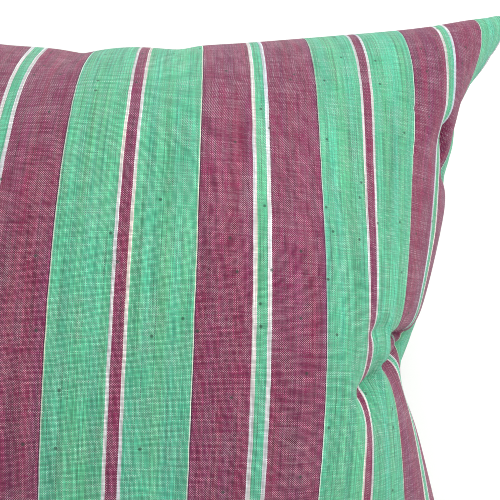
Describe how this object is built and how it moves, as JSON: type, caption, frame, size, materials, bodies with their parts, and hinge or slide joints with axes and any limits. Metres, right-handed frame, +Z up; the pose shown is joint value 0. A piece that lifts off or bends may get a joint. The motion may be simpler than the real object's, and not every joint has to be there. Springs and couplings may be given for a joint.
{
  "type": "scatter cushion",
  "caption": "Plump square scatter cushion with a knife-edge seam, drawn-in sides, pinched corners and a pleat in the middle of one side, lying on its back.",
  "frame": {"origin": "middle of the footprint, at the underside that the cushion rests on", "axes": "+Z up out of the front panel, +X across the stripes towards the pleated side, +Y along the stripes towards the far side"},
  "size_m": [0.4578, 0.4556, 0.209],
  "materials": {
    "striped_cotton": "plain woven, matte"
  },
  "bodies": {
    "root": {"cushion": "striped_cotton"}
  },
  "joints": []
}
